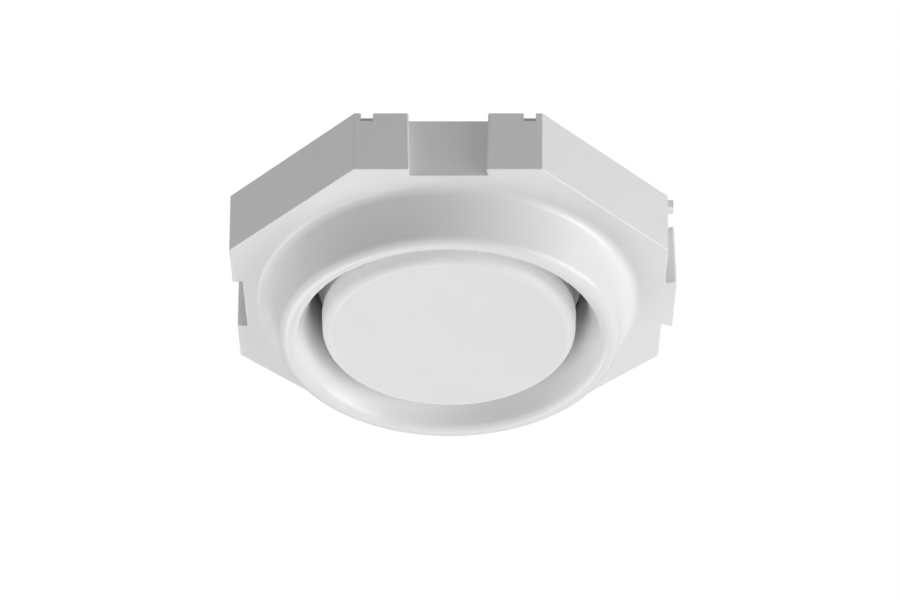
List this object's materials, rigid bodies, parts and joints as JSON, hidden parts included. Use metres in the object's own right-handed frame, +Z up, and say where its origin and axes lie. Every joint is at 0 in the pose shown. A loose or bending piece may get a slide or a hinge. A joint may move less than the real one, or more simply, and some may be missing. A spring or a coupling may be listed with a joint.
{
  "type": "soffit downlight",
  "caption": "Octagonal white plastic soffit downlight with a drooping ring round a twist-in disc lamp, a steel back plate, and interlocking edges.",
  "frame": {"origin": "midway between the two soffit screws, on the back plate's face that lies on the soffit", "axes": "+Z up into the soffit, so the lamp looks along -Z; +X towards one tongue, through both soffit screws; +Y towards the other tongue"},
  "size_m": [0.132, 0.132, 0.0352],
  "materials": {
    "white_moulding": "satin",
    "zinc_plate": "zinc plated",
    "steel_screws": "zinc plated",
    "grommet_rubber": "matt",
    "white_nylon": "matt",
    "terminal_brass": "bright",
    "contact_strip": "bright",
    "live_sleeve": "satin",
    "neutral_sleeve": "satin",
    "holder_moulding": "satin",
    "lamp_moulding": "satin",
    "opal_cover": "satin",
    "pressed_aluminium": "matt",
    "white_board": "satin",
    "led_phosphor": "matt",
    "nickel_pins": "bright",
    "green_board": "satin",
    "capacitor_sleeve": "glossy",
    "copper_winding": "varnished",
    "black_package": "matt",
    "resistor_coat": "glossy",
    "red_sleeve": "satin"
  },
  "bodies": {
    "fixture": {"housing": "white_moulding", "back_plate": "zinc_plate", "threaded_standoffs": "zinc_plate", "fixing_screws": "steel_screws", "cable_clamp_screws": "steel_screws", "terminal_screws": "steel_screws", "terminal_block_screw": "steel_screws", "holder_cover_screws": "steel_screws", "cable_grommet": "grommet_rubber", "cable_clamp": "white_nylon", "terminal_block": "white_nylon", "terminal_clamps": "terminal_brass", "live_contact": "contact_strip", "neutral_contact": "contact_strip", "live_lead": "live_sleeve", "neutral_lead": "neutral_sleeve", "holder_body": "holder_moulding", "holder_cover": "holder_moulding"},
    "lamp": {"lamp_body": "lamp_moulding", "lamp_diffuser": "opal_cover", "lamp_heat_sink": "pressed_aluminium", "led_board": "white_board", "led_chips": "led_phosphor", "led_board_screws": "steel_screws", "lamp_cap": "lamp_moulding", "contact_pins": "nickel_pins", "driver_board": "green_board", "driver_capacitor": "capacitor_sleeve", "driver_inductor": "copper_winding", "driver_rectifier": "black_package", "driver_chip": "black_package", "driver_resistor": "resistor_coat", "pin_wires": "red_sleeve", "led_wires": "red_sleeve"}
  },
  "joints": [
    {"name": "lamp_twist", "type": "hinge", "parent": "fixture", "child": "lamp", "pos_m": [0, 0, -0.0137], "axis": [0, 0, -1], "range_deg": [0, 15]}
  ]
}
